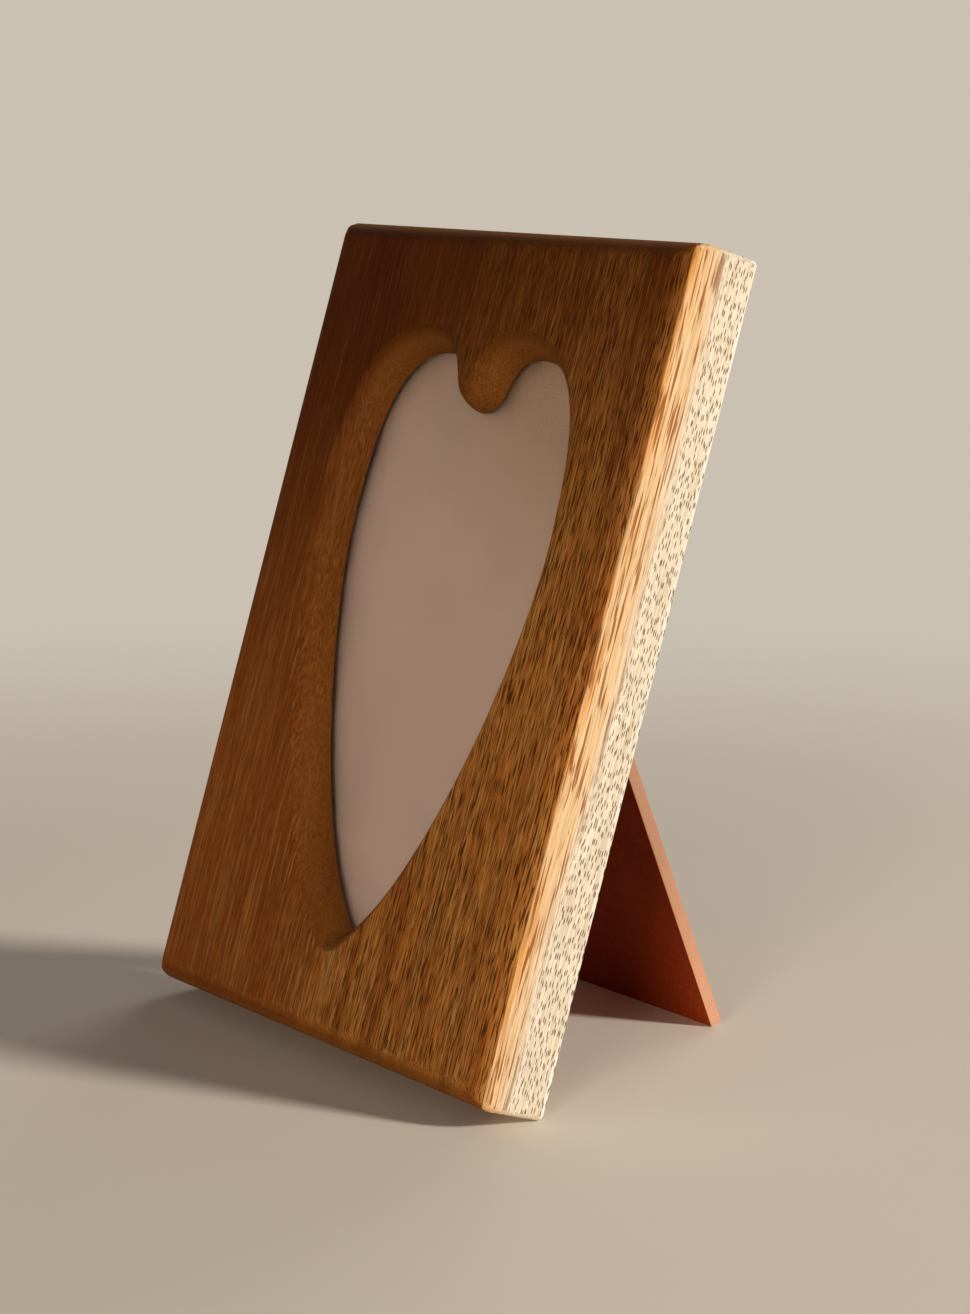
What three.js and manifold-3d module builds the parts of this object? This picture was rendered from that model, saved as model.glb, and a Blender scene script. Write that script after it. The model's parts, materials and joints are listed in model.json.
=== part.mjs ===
// Wooden photo frame with a heart-shaped opening, leaning back on a hinged easel stand.
// Millimetres, +Z up, the front looks towards -Y, and the origin is under the middle of the footprint.
import * as THREE from 'three';
import { mergeVertices, toCreasedNormals } from 'three/addons/utils/BufferGeometryUtils.js';
import Module from 'manifold-3d';

const wasm = await Module();
wasm.setup();

// Driving dimensions: the print and its rebate
const printWidth = 102;
const printHeight = 152;
const rebateClearance = 1;
const rebateCornerRadius = 4;
const paneClearance = 0.5;

// Driving dimensions: the block
const rimSide = 23;
const rimTop = 23;
const rimBottom = 23;
const frontRoundover = 6;
const cornerSoftening = 1.5;
const rearEasing = 0.6;
const leanAngle = THREE.MathUtils.degToRad(16.8);

// Driving dimensions: the heart, measured at its lip and down from the crests of its lobes
const lipOverlapSide = 5.3;
const lipOverlapTop = 6.2;
const lipOverlapBottom = 2.8;
const lipDepth = 1;
const bevelDepth = 8;
const bevelInset = 5.5;
const bevelBelly = THREE.MathUtils.degToRad(28);
const crestOffset = 19.6;
const notchDrop = 14.1;
const notchFrontRadius = 2.3;
const notchFlankAngle = THREE.MathUtils.degToRad(65);
const widestDrop = 43.7;
const tipRadius = 3.3;
const tipHalfAngle = THREE.MathUtils.degToRad(55.5);

// Driving dimensions: how far each curve of the heart runs on before it turns
const flankRun = 7.2;
const crestInnerRun = 8.1;
const crestOuterRun = 24.4;
const shoulderRun = 18.4;
const cheekRun = 25.2;
const tipRun = 31;

// Driving dimensions: what lies in the rebate, from the front
const seatGap = 0.3;
const glassThickness = 2;
const insertThickness = 0.6;
const backingThickness = 3.7;
const backboardThickness = 3.5;

// Driving dimensions: the stand and its hinge
const standThickness = 3.5;
const standFootWidth = 60;
const standTopWidth = 23;
const standTopRadius = 3;
const standOpenAngle = THREE.MathUtils.degToRad(34);
const hingeDrop = 37;
const leafThickness = 0.8;
const leafWidth = 18;
const leafLength = 14;
const leafCornerRadius = 2.5;
const tongueWidth = 5.4;
const fixedKnuckleLength = 3;
const runningGap = 0.3;
const pinHeadOverhang = 0.5;
const pinHeadThickness = 0.6;

// Driving dimensions: rivets, turn buttons and screws
const rivetShankRadius = 1;
const rivetHeadRadius = 2.2;
const rivetHeadHeight = 1.1;
const rivetSpacing = 10.4;
const rivetSetback = 7.2;
const buttonThickness = 1;
const buttonPivotRadius = 5;
const buttonTipRadius = 3.6;
const buttonReach = 13;
const buttonSetback = 8;
const buttonSpacing = 92;
const screwShankRadius = 1.4;
const screwHeadRadius = 3;
const screwHeadHeight = 1.8;
const screwLength = 11;
const screwPointLength = 3;

// Facets
const heartCurveSegments = 14;
const bevelSegments = 2;
const roundoverSegments = 5;
const smallArcSegments = 3;
const holeSegments = 6;
const knuckleSegments = 10;
const turnedSegments = 16;
const domeSegments = 4;
const creaseAngle = THREE.MathUtils.degToRad(30);
const cutOvershoot = 0.2;
const weldTolerance = 1e-4;

// Sizes that follow from the driving dimensions
const rebateWidth = printWidth + 2 * rebateClearance;
const rebateHeight = printHeight + 2 * rebateClearance;
const blockWidth = rebateWidth + 2 * rimSide;
const blockHeight = rebateHeight + rimTop + rimBottom;
const rebateCentre = rimBottom + rebateHeight / 2;
const hingeHeight = rimBottom + rebateHeight - hingeDrop;
const backboardFront = backboardThickness;
const backingRear = backboardFront + seatGap;
const insertRear = backingRear + backingThickness + seatGap;
const glassRear = insertRear + insertThickness + seatGap;
const rebateDepth = glassRear + glassThickness + seatGap;
const lipFront = rebateDepth + lipDepth;
const blockThickness = lipFront + bevelDepth;
const knuckleRadius = (seatGap + standThickness + leafThickness) / 2;
const pinBore = knuckleRadius - leafThickness;
const pinRadius = pinBore - runningGap;
const axisStandoff = seatGap + knuckleRadius;
const knuckleClearance = knuckleRadius + runningGap;
const swingKnuckleInner = tongueWidth / 2 + runningGap + fixedKnuckleLength + runningGap;
const pinHalfLength = leafWidth / 2 + runningGap + pinHeadThickness;
const floorRise = rearEasing * Math.sin(leanAngle);
const legAngle = standOpenAngle - leanAngle;
const standReach =
  (hingeHeight * Math.cos(leanAngle) - axisStandoff * Math.sin(leanAngle)
    - knuckleRadius * Math.sin(legAngle) - floorRise) / Math.cos(legAngle);
const tongueReach =
  (axisStandoff - seatGap - leafThickness - seatGap + pinBore * Math.cos(standOpenAngle))
    / Math.sin(standOpenAngle);

// Finishes
const hardwood = new THREE.MeshStandardMaterial({ color: 0xb88652, roughness: 0.55, metalness: 0 });
const clearGlass = new THREE.MeshStandardMaterial({
  color: 0xe8f0ee, roughness: 0.04, metalness: 0, transparent: true, opacity: 0.25,
});
const offWhiteCard = new THREE.MeshStandardMaterial({ color: 0xe6dcd0, roughness: 0.9, metalness: 0 });
const greyboard = new THREE.MeshStandardMaterial({ color: 0x8f8779, roughness: 0.95, metalness: 0 });
const fibreboard = new THREE.MeshStandardMaterial({ color: 0x8c4f33, roughness: 0.8, metalness: 0 });
const platedSteel = new THREE.MeshStandardMaterial({ color: 0xb9b7b0, roughness: 0.35, metalness: 1 });
const brassPlate = new THREE.MeshStandardMaterial({ color: 0xb9974f, roughness: 0.35, metalness: 1 });

// Turns a closed geometry into a solid that can be cut and joined
function solidOf(geometry) {
  const bare = new THREE.BufferGeometry();
  bare.setAttribute('position', geometry.getAttribute('position').clone());
  bare.setIndex(geometry.index ? geometry.index.clone() : null);
  const welded = mergeVertices(bare, weldTolerance);
  const corners = welded.index.array;
  const triangles = [];
  for (let i = 0; i < corners.length; i += 3) {
    const [a, b, c] = [corners[i], corners[i + 1], corners[i + 2]];
    if (a !== b && b !== c && c !== a) triangles.push(a, b, c);
  }
  return new wasm.Manifold(new wasm.Mesh({
    numProp: 3,
    vertProperties: new Float32Array(welded.getAttribute('position').array),
    triVerts: new Uint32Array(triangles),
  }));
}

// Turns a solid back into a geometry, as a mesh named for its piece
function piece(name, solid, material) {
  const { vertProperties, triVerts } = solid.getMesh();
  const geometry = new THREE.BufferGeometry();
  geometry.setAttribute('position', new THREE.BufferAttribute(vertProperties, 3));
  geometry.setIndex(new THREE.BufferAttribute(triVerts, 1));
  const mesh = new THREE.Mesh(toCreasedNormals(geometry, creaseAngle), material);
  mesh.name = name;
  return mesh;
}

// Extrudes a shape drawn on the back plane towards the front, from one depth to another
function slab(shape, rear, front, curveSegments = smallArcSegments) {
  const geometry = new THREE.ExtrudeGeometry(shape, { depth: front - rear, bevelEnabled: false, curveSegments });
  return solidOf(geometry.translate(0, 0, rear));
}

// Extrudes a profile of height and depth across the frame, from one side to the other
function acrossFrame(profile, left, right, curveSegments) {
  const geometry = new THREE.ExtrudeGeometry(profile, { depth: right - left, bevelEnabled: false, curveSegments });
  const turn = new THREE.Matrix4().makeBasis(
    new THREE.Vector3(0, 1, 0),
    new THREE.Vector3(0, 0, 1),
    new THREE.Vector3(1, 0, 0),
  );
  return solidOf(geometry.applyMatrix4(turn).translate(left, 0, 0));
}

// Extrudes a profile of width and depth up the frame, from its bottom edge
function upFrame(profile, height, curveSegments) {
  const geometry = new THREE.ExtrudeGeometry(profile, { depth: height, bevelEnabled: false, curveSegments });
  return solidOf(geometry.rotateX(Math.PI / 2).translate(0, height, 0));
}

// Revolves a profile about an axis that points to the rear of the frame
function turned(profile, segments = turnedSegments) {
  return solidOf(new THREE.LatheGeometry(profile, segments).rotateX(-Math.PI / 2));
}

function roundedRectangle(left, bottom, right, top, radius) {
  const shape = new THREE.Shape();
  shape.absarc(right - radius, bottom + radius, radius, -Math.PI / 2, 0);
  shape.absarc(right - radius, top - radius, radius, 0, Math.PI / 2);
  shape.absarc(left + radius, top - radius, radius, Math.PI / 2, Math.PI);
  shape.absarc(left + radius, bottom + radius, radius, Math.PI, 1.5 * Math.PI);
  shape.closePath();
  return shape;
}

function rectangle(left, bottom, right, top) {
  const shape = new THREE.Shape();
  shape.moveTo(left, bottom);
  shape.lineTo(right, bottom);
  shape.lineTo(right, top);
  shape.lineTo(left, top);
  shape.closePath();
  return shape;
}

function disc(x, y, radius) {
  const shape = new THREE.Shape();
  shape.absarc(x, y, radius, 0, 2 * Math.PI);
  return shape;
}

// One section of the block: rounded over at both front corners, eased at both rear corners
function blockSection(low, high) {
  const shape = new THREE.Shape();
  shape.moveTo(low + rearEasing, 0);
  shape.lineTo(high - rearEasing, 0);
  shape.lineTo(high, rearEasing);
  shape.absarc(high - frontRoundover, blockThickness - frontRoundover, frontRoundover, 0, Math.PI / 2);
  shape.absarc(low + frontRoundover, blockThickness - frontRoundover, frontRoundover, Math.PI / 2, Math.PI);
  shape.lineTo(low, rearEasing);
  shape.closePath();
  return shape;
}

// The heart at its lip: a rounded notch, two lobes, and cheeks that run down to a small round tip
function heartAtLip() {
  const halfWidth = printWidth / 2 - lipOverlapSide;
  const crest = rebateCentre + printHeight / 2 - lipOverlapTop;
  const widest = crest - widestDrop;
  const notchRadius = notchFrontRadius + bevelInset;
  const notchCentre = crest - notchDrop + notchRadius;
  const tipCentre = rebateCentre - printHeight / 2 + lipOverlapBottom + tipRadius;
  const notchStart = -Math.PI / 2 - notchFlankAngle;
  const notchEnd = -Math.PI / 2 + notchFlankAngle;
  const flankX = notchRadius * Math.cos(notchEnd);
  const flankY = notchCentre + notchRadius * Math.sin(notchEnd);
  const flankPullX = flankX + flankRun * Math.cos(notchFlankAngle);
  const flankPullY = flankY + flankRun * Math.sin(notchFlankAngle);
  const tipX = tipRadius * Math.cos(tipHalfAngle);
  const tipY = tipCentre - tipRadius * Math.sin(tipHalfAngle);
  const tipPullX = tipX + tipRun * Math.sin(tipHalfAngle);
  const tipPullY = tipY + tipRun * Math.cos(tipHalfAngle);
  const shape = new THREE.Shape();
  shape.absarc(0, notchCentre, notchRadius, notchStart, notchEnd);
  shape.bezierCurveTo(flankPullX, flankPullY, crestOffset - crestInnerRun, crest, crestOffset, crest);
  shape.bezierCurveTo(crestOffset + crestOuterRun, crest, halfWidth, widest + shoulderRun, halfWidth, widest);
  shape.bezierCurveTo(halfWidth, widest - cheekRun, tipPullX, tipPullY, tipX, tipY);
  shape.absarc(0, tipCentre, tipRadius, -tipHalfAngle, tipHalfAngle - Math.PI, true);
  shape.bezierCurveTo(-tipPullX, tipPullY, -halfWidth, widest - cheekRun, -halfWidth, widest);
  shape.bezierCurveTo(-halfWidth, widest + shoulderRun, -crestOffset - crestOuterRun, crest, -crestOffset, crest);
  shape.bezierCurveTo(crestInnerRun - crestOffset, crest, -flankPullX, flankPullY, -flankX, flankY);
  return shape;
}

// The bevel's section, from the lip to the front face: how far it has widened, and how far forward it lies
function bevelSection() {
  const slope = Math.atan2(bevelDepth, bevelInset);
  const lipSlope = slope + bevelBelly;
  const frontSlope = slope - bevelBelly;
  const radius = Math.hypot(bevelInset, bevelDepth) / (2 * Math.sin(bevelBelly));
  const centreX = radius * Math.sin(lipSlope);
  const centreY = lipFront - radius * Math.cos(lipSlope);
  const section = new THREE.Path();
  section.absarc(centreX, centreY, radius, Math.PI / 2 + lipSlope, Math.PI / 2 + frontSlope, true);
  return section.getPoints(bevelSegments);
}

// The cutter for the heart: a straight lip, then a bellied bevel that widens to the front face
function heartCutter() {
  const heart = heartAtLip();
  const section = bevelSection();
  let cutter = slab(heart, rebateDepth - cutOvershoot, lipFront + cutOvershoot, heartCurveSegments);
  for (let i = 1; i < section.length; i += 1) {
    const start = section[i - 1];
    const end = section[i];
    const rise = end.y - start.y + 2 * cutOvershoot;
    const spread = (end.x - start.x) / (end.y - start.y);
    const flare = new THREE.ExtrudeGeometry(heart, {
      depth: cutOvershoot,
      bevelThickness: rise,
      bevelSize: spread * rise,
      bevelOffset: start.x - spread * cutOvershoot,
      bevelSegments: 1,
      curveSegments: heartCurveSegments,
    });
    cutter = cutter.add(solidOf(flare.translate(0, 0, start.y - cutOvershoot + rise)));
  }
  return cutter;
}

// Places of the turn buttons on the side rims, with the way that each one points when it holds the board
function buttonPlaces() {
  const pivotX = rebateWidth / 2 + buttonSetback;
  const rows = { upper: buttonSpacing / 2, lower: -buttonSpacing / 2 };
  return Object.entries(rows).flatMap(([row, rise]) => [
    { name: `${row}_left`, x: -pivotX, y: rebateCentre + rise, turn: 0 },
    { name: `${row}_right`, x: pivotX, y: rebateCentre + rise, turn: Math.PI },
  ]);
}

function frameBlock() {
  const outline = roundedRectangle(-blockWidth / 2, 0, blockWidth / 2, blockHeight, cornerSoftening);
  const rebate = roundedRectangle(
    -rebateWidth / 2, rimBottom, rebateWidth / 2, rimBottom + rebateHeight, rebateCornerRadius,
  );
  const pilotDepth = screwLength - buttonThickness - seatGap;
  let block = upFrame(blockSection(-blockWidth / 2, blockWidth / 2), blockHeight, roundoverSegments)
    .intersect(acrossFrame(blockSection(0, blockHeight), -blockWidth / 2, blockWidth / 2, roundoverSegments))
    .intersect(slab(outline, 0, blockThickness))
    .subtract(slab(rebate, -cutOvershoot, rebateDepth))
    .subtract(heartCutter());
  for (const { x, y } of buttonPlaces()) {
    const pilot = disc(x, y, screwShankRadius + runningGap);
    block = block.subtract(slab(pilot, -cutOvershoot, pilotDepth, holeSegments));
  }
  return piece('frame_block', block, hardwood);
}

// A flat sheet in the rebate, with its corners rounded to suit
function rebateSheet(width, height, rear, front, holes = []) {
  const cornerRadius = rebateCornerRadius + rebateClearance;
  const bottom = rebateCentre - height / 2;
  const shape = roundedRectangle(-width / 2, bottom, width / 2, bottom + height, cornerRadius);
  shape.holes.push(...holes);
  return slab(shape, rear, front, holeSegments);
}

function glassPane() {
  const width = rebateWidth - 2 * paneClearance;
  const height = rebateHeight - 2 * paneClearance;
  return piece('glass_pane', rebateSheet(width, height, glassRear, glassRear + glassThickness), clearGlass);
}

function photoInsert() {
  const sheet = rebateSheet(printWidth, printHeight, insertRear, insertRear + insertThickness);
  return piece('photo_insert', sheet, offWhiteCard);
}

function backingCard() {
  const sheet = rebateSheet(printWidth, printHeight, backingRear, backingRear + backingThickness);
  return piece('backing_card', sheet, greyboard);
}

// Rivet holes of one leaf, at a distance along the leaf from the hinge axis
function rivetHoles(y) {
  return [-1, 1].map((side) => disc(side * rivetSpacing / 2, y, rivetShankRadius + runningGap));
}

function backboard() {
  const width = rebateWidth - 2 * paneClearance;
  const height = rebateHeight - 2 * paneClearance;
  const holes = rivetHoles(hingeHeight + knuckleClearance + rivetSetback);
  return piece('backboard', rebateSheet(width, height, 0, backboardFront, holes), fibreboard);
}

// The stand, folded, drawn from the hinge axis down: a tapered leg with softened top corners
function easelStand() {
  const shape = new THREE.Shape();
  const top = -knuckleClearance;
  const slope = Math.atan2((standFootWidth - standTopWidth) / 2, standReach - knuckleClearance);
  const shoulder = standTopRadius * Math.tan(Math.PI / 4 - slope / 2);
  const arcX = standTopWidth / 2 - shoulder;
  shape.moveTo(-standFootWidth / 2, -standReach);
  shape.lineTo(standFootWidth / 2, -standReach);
  shape.absarc(arcX, top - standTopRadius, standTopRadius, slope, Math.PI / 2);
  shape.absarc(-arcX, top - standTopRadius, standTopRadius, Math.PI / 2, Math.PI - slope);
  shape.closePath();
  shape.holes.push(...rivetHoles(-knuckleClearance - rivetSetback));
  const inner = axisStandoff - seatGap;
  return piece('easel_stand', slab(shape, inner - standThickness, inner, holeSegments), fibreboard);
}

// One rolled knuckle on the hinge axis
function knuckle(left, right) {
  const ring = disc(0, 0, knuckleRadius);
  ring.holes.push(disc(0, 0, pinBore));
  return acrossFrame(ring, left, right, knuckleSegments);
}

// The leaf on the backboard, drawn from the hinge axis up, with two knuckles rolled from its lower edge
function hingeFixedLeaf() {
  const front = knuckleRadius;
  const rear = front - leafThickness;
  const halfWidth = leafWidth / 2;
  const top = knuckleClearance + leafLength;
  const plate = roundedRectangle(-halfWidth, knuckleClearance, halfWidth, top, leafCornerRadius);
  plate.holes.push(...rivetHoles(knuckleClearance + rivetSetback));
  let leaf = slab(plate, rear, front, holeSegments);
  for (const side of [-1, 1]) {
    const inner = side * (tongueWidth / 2 + runningGap);
    const outer = inner + side * fixedKnuckleLength;
    const left = Math.min(inner, outer);
    const right = Math.max(inner, outer);
    const neck = rectangle(left, 0, right, knuckleClearance + leafCornerRadius);
    leaf = leaf.add(slab(neck, rear, front)).add(knuckle(left, right));
  }
  return piece('hinge_fixed_leaf', leaf, platedSteel);
}

// The leaf on the stand, drawn folded from the hinge axis down. Its outer knuckles turn on the pin, and the
// tongue between them runs on over the pin and meets the fixed leaf when the stand is open.
function hingeSwingLeaf() {
  const rear = -knuckleRadius;
  const front = rear + leafThickness;
  const halfWidth = leafWidth / 2;
  const bottom = -knuckleClearance - leafLength;
  const plate = roundedRectangle(-halfWidth, bottom, halfWidth, -knuckleClearance, leafCornerRadius);
  plate.holes.push(...rivetHoles(-knuckleClearance - rivetSetback));
  const tongue = rectangle(-tongueWidth / 2, -knuckleClearance - leafCornerRadius, tongueWidth / 2, tongueReach);
  let leaf = slab(plate, rear, front, holeSegments).add(slab(tongue, rear, front));
  for (const side of [-1, 1]) {
    const left = Math.min(side * swingKnuckleInner, side * halfWidth);
    const right = Math.max(side * swingKnuckleInner, side * halfWidth);
    const neck = rectangle(left, -knuckleClearance - leafCornerRadius, right, 0);
    leaf = leaf.add(slab(neck, rear, front)).add(knuckle(left, right));
  }
  return piece('hinge_swing_leaf', leaf, platedSteel);
}

// The pin, peened over outside the outer knuckles
function hingePin() {
  const headRadius = pinRadius + pinHeadOverhang;
  const headStart = pinHalfLength - pinHeadThickness;
  const profile = [
    [0, -pinHalfLength], [pinRadius, -pinHalfLength], [headRadius, -headStart], [pinRadius, -headStart],
    [pinRadius, headStart], [headRadius, headStart], [pinRadius, pinHalfLength], [0, pinHalfLength],
  ].map(([radius, along]) => new THREE.Vector2(radius, along));
  const pin = new THREE.LatheGeometry(profile, turnedSegments).rotateZ(-Math.PI / 2);
  return piece('hinge_pin', solidOf(pin), platedSteel);
}

// Points of a low dome on a shank, from the rim of the dome to its crown
function domePoints(radius, height) {
  return Array.from({ length: domeSegments + 1 }, (_, i) => {
    const angle = (i / domeSegments) * (Math.PI / 2);
    return new THREE.Vector2(radius * Math.cos(angle), height * Math.sin(angle));
  });
}

// A rivet through a leaf and the board under it, headed on the leaf and flush on the far side
function rivet(name, boardThickness) {
  const length = leafThickness + 2 * seatGap + boardThickness;
  const profile = [
    new THREE.Vector2(0, -length),
    new THREE.Vector2(rivetShankRadius, -length),
    new THREE.Vector2(rivetShankRadius, 0),
    ...domePoints(rivetHeadRadius, rivetHeadHeight),
  ];
  return piece(name, turned(profile), platedSteel);
}

// A wood screw with a round head, drawn from under its head
function turnButtonScrew(name) {
  const profile = [
    new THREE.Vector2(0, seatGap - screwLength),
    new THREE.Vector2(screwShankRadius, seatGap + screwPointLength - screwLength),
    new THREE.Vector2(screwShankRadius, 0),
    ...domePoints(screwHeadRadius, screwHeadHeight),
  ];
  return piece(name, turned(profile), brassPlate);
}

// A turn button: a flat plate that narrows from its pivot to its tip
function turnButton(name) {
  const flare = Math.acos((buttonPivotRadius - buttonTipRadius) / buttonReach);
  const shape = new THREE.Shape();
  shape.absarc(0, 0, buttonPivotRadius, flare, 2 * Math.PI - flare);
  shape.absarc(buttonReach, 0, buttonTipRadius, -flare, flare);
  shape.closePath();
  shape.holes.push(disc(0, 0, screwShankRadius + runningGap));
  return piece(name, slab(shape, -buttonThickness, 0, holeSegments), brassPlate);
}

function sideName(side) {
  return side < 0 ? 'left' : 'right';
}

// The stand with its leaf and rivets, turned about the hinge axis to its open angle
function standAssembly() {
  const stand = new THREE.Group();
  stand.add(easelStand(), hingeSwingLeaf());
  for (const side of [-1, 1]) {
    const swingRivet = rivet(`swing_leaf_rivet_${sideName(side)}`, standThickness);
    const headSeat = -knuckleRadius - seatGap;
    swingRivet.position.set(side * rivetSpacing / 2, -knuckleClearance - rivetSetback, headSeat);
    stand.add(swingRivet);
  }
  stand.rotation.x = standOpenAngle;
  return stand;
}

// The hinge axis, with the leaf and the pin that stay with the frame
function hingeAssembly() {
  const hinge = new THREE.Group();
  hinge.add(hingeFixedLeaf(), hingePin(), standAssembly());
  for (const side of [-1, 1]) {
    const fixedRivet = rivet(`fixed_leaf_rivet_${sideName(side)}`, backboardThickness);
    const headSeat = knuckleRadius - leafThickness - seatGap;
    fixedRivet.position.set(side * rivetSpacing / 2, knuckleClearance + rivetSetback, headSeat);
    hinge.add(fixedRivet);
  }
  hinge.position.set(0, hingeHeight, -axisStandoff);
  return hinge;
}

// Everything, lying on its back with its bottom edge along X, then leaned up
function leaningFrame() {
  const frame = new THREE.Group();
  frame.add(frameBlock(), glassPane(), photoInsert(), backingCard(), backboard(), hingeAssembly());
  for (const { name, x, y, turn } of buttonPlaces()) {
    const button = turnButton(`turn_button_${name}`);
    button.position.set(x, y, -seatGap);
    button.rotation.z = turn;
    const screw = turnButtonScrew(`turn_button_screw_${name}`);
    screw.position.set(x, y, -2 * seatGap - buttonThickness);
    frame.add(button, screw);
  }
  frame.rotation.x = Math.PI / 2 - leanAngle;
  return frame;
}

// The footprint is centred on the origin, with the floor at zero
const photoFrame = new THREE.Group();
photoFrame.add(leaningFrame());
const footprint = new THREE.Box3().setFromObject(photoFrame, true);
photoFrame.position.y = -(footprint.min.y + footprint.max.y) / 2;
photoFrame.position.z = -footprint.min.z;

export default photoFrame;
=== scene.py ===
"""A hardwood photo frame with a heart-shaped opening, dressed in its real finishes.

Pieces are modelled in millimetres in the frame of the leaning block, or of the stand that swings from it: X to the
right, Y up the block and Z to its front. Each piece is then set in the shared frame, in metres.
"""
import json
import logging
import math
from collections.abc import Callable
from dataclasses import dataclass
from enum import Enum

import bpy
from mathutils import Matrix, Vector

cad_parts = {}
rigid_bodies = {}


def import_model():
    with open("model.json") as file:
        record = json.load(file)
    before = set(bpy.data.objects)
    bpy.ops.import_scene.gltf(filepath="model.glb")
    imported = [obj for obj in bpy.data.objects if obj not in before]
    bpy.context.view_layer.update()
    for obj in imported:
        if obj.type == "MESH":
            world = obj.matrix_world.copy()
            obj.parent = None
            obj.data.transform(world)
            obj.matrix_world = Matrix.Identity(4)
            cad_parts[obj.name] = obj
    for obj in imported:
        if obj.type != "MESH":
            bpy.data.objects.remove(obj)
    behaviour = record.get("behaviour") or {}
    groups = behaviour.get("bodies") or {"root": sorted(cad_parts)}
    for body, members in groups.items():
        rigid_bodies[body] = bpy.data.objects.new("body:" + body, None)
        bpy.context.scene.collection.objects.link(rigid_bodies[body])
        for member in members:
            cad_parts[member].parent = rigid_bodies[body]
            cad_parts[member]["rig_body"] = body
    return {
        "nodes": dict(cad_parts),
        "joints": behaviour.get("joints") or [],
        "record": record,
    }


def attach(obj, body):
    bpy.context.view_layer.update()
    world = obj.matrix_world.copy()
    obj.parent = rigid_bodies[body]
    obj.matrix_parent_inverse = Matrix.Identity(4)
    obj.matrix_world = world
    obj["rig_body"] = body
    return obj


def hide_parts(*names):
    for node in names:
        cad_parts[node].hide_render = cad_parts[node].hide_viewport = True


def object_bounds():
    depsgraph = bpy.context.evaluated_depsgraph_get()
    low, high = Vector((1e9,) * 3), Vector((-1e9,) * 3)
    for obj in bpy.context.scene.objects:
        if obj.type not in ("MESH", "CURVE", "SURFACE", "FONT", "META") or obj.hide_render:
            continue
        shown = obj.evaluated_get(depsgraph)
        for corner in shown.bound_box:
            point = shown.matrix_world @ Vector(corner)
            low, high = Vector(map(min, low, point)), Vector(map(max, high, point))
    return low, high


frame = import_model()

CAD_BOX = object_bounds()
MM = 0.001
NEAR = 0.01
OVERCUT = 0.5
ARRIS_STEPS = 2
CORNER_STEPS = 6
DRILL_SIDES = 24
DOME_SIDES = 40
DOME_RINGS = 24
SHEET_CORNER = 5.0
SHEET_CORNER_STEPS = 8
PRESSED_CREASE = 40.0
WHITE = "FFFFFF"

log = logging.getLogger("photo_frame")
PointTest = Callable[[Vector], bool]
Span = tuple[float, float]
Triple = tuple[float, float, float]
Node = bpy.types.Node
Socket = bpy.types.NodeSocket
Tree = bpy.types.NodeTree


class Axis(Enum):
    """A direction of the block's own frame."""

    ACROSS = (1.0, 0.0, 0.0)
    UP = (0.0, 1.0, 0.0)
    THROUGH = (0.0, 0.0, 1.0)

    @property
    def vector(self) -> Vector:
        """The direction as a vector."""
        return Vector(self.value)


class Side(Enum):
    """A side of the frame, seen from its front."""

    LEFT = -1
    RIGHT = 1

    @property
    def word(self) -> str:
        """The word that the side has in the names of pieces."""
        return self.name.lower()


@dataclass(frozen=True)
class Place:
    """A frame for modelling in millimetres, with the matrix that takes it to metres in the shared frame."""

    matrix: Matrix

    @classmethod
    def of_block(cls, record: dict) -> "Place":
        """Finds the block's own frame from its two flat mounts.

        Args:
            record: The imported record.

        Returns:
            The frame with its origin at the middle of the block's lower rear edge.
        """
        mounts = {mount["name"]: mount for mount in record["mounts"]}
        bottom, back = mounts["bottom_face"], mounts["back_rim"]
        up = -Vector(bottom["axis"])
        front = -Vector(back["axis"])
        origin = up * up.dot(Vector(bottom["pos_m"])) + front * front.dot(Vector(back["pos_m"]))
        turn = Matrix((Axis.ACROSS.vector, up, front)).transposed().to_4x4()
        return cls(Matrix.Translation(origin) @ turn @ Matrix.Scale(MM, 4))

    @property
    def axes(self) -> Matrix:
        """The frame's own axes in the shared frame, as the columns of a matrix."""
        return self.matrix.to_3x3().normalized()

    def moved(self, offset: Vector, turn: float = 0.0, about: Axis = Axis.THROUGH) -> "Place":
        """Gives a frame whose origin is set off in this one, turned by an angle in radians about an axis."""
        return Place(self.matrix @ Matrix.Translation(offset) @ Matrix.Rotation(turn, 4, about.vector))

    def point(self, shared: Vector) -> Vector:
        """Gives a point of the shared frame in this frame, in millimetres."""
        return self.matrix.inverted() @ shared

    def box(self, node: str) -> tuple[Vector, Vector]:
        """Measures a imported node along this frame's axes.

        Args:
            node: The node's name.

        Returns:
            The lowest and the highest corner, in millimetres.
        """
        inverse = self.matrix.inverted()
        corners = [inverse @ vertex.co for vertex in frame["nodes"][node].data.vertices]
        low = Vector([min(corner[i] for corner in corners) for i in range(3)])
        high = Vector([max(corner[i] for corner in corners) for i in range(3)])
        return low, high


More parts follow.
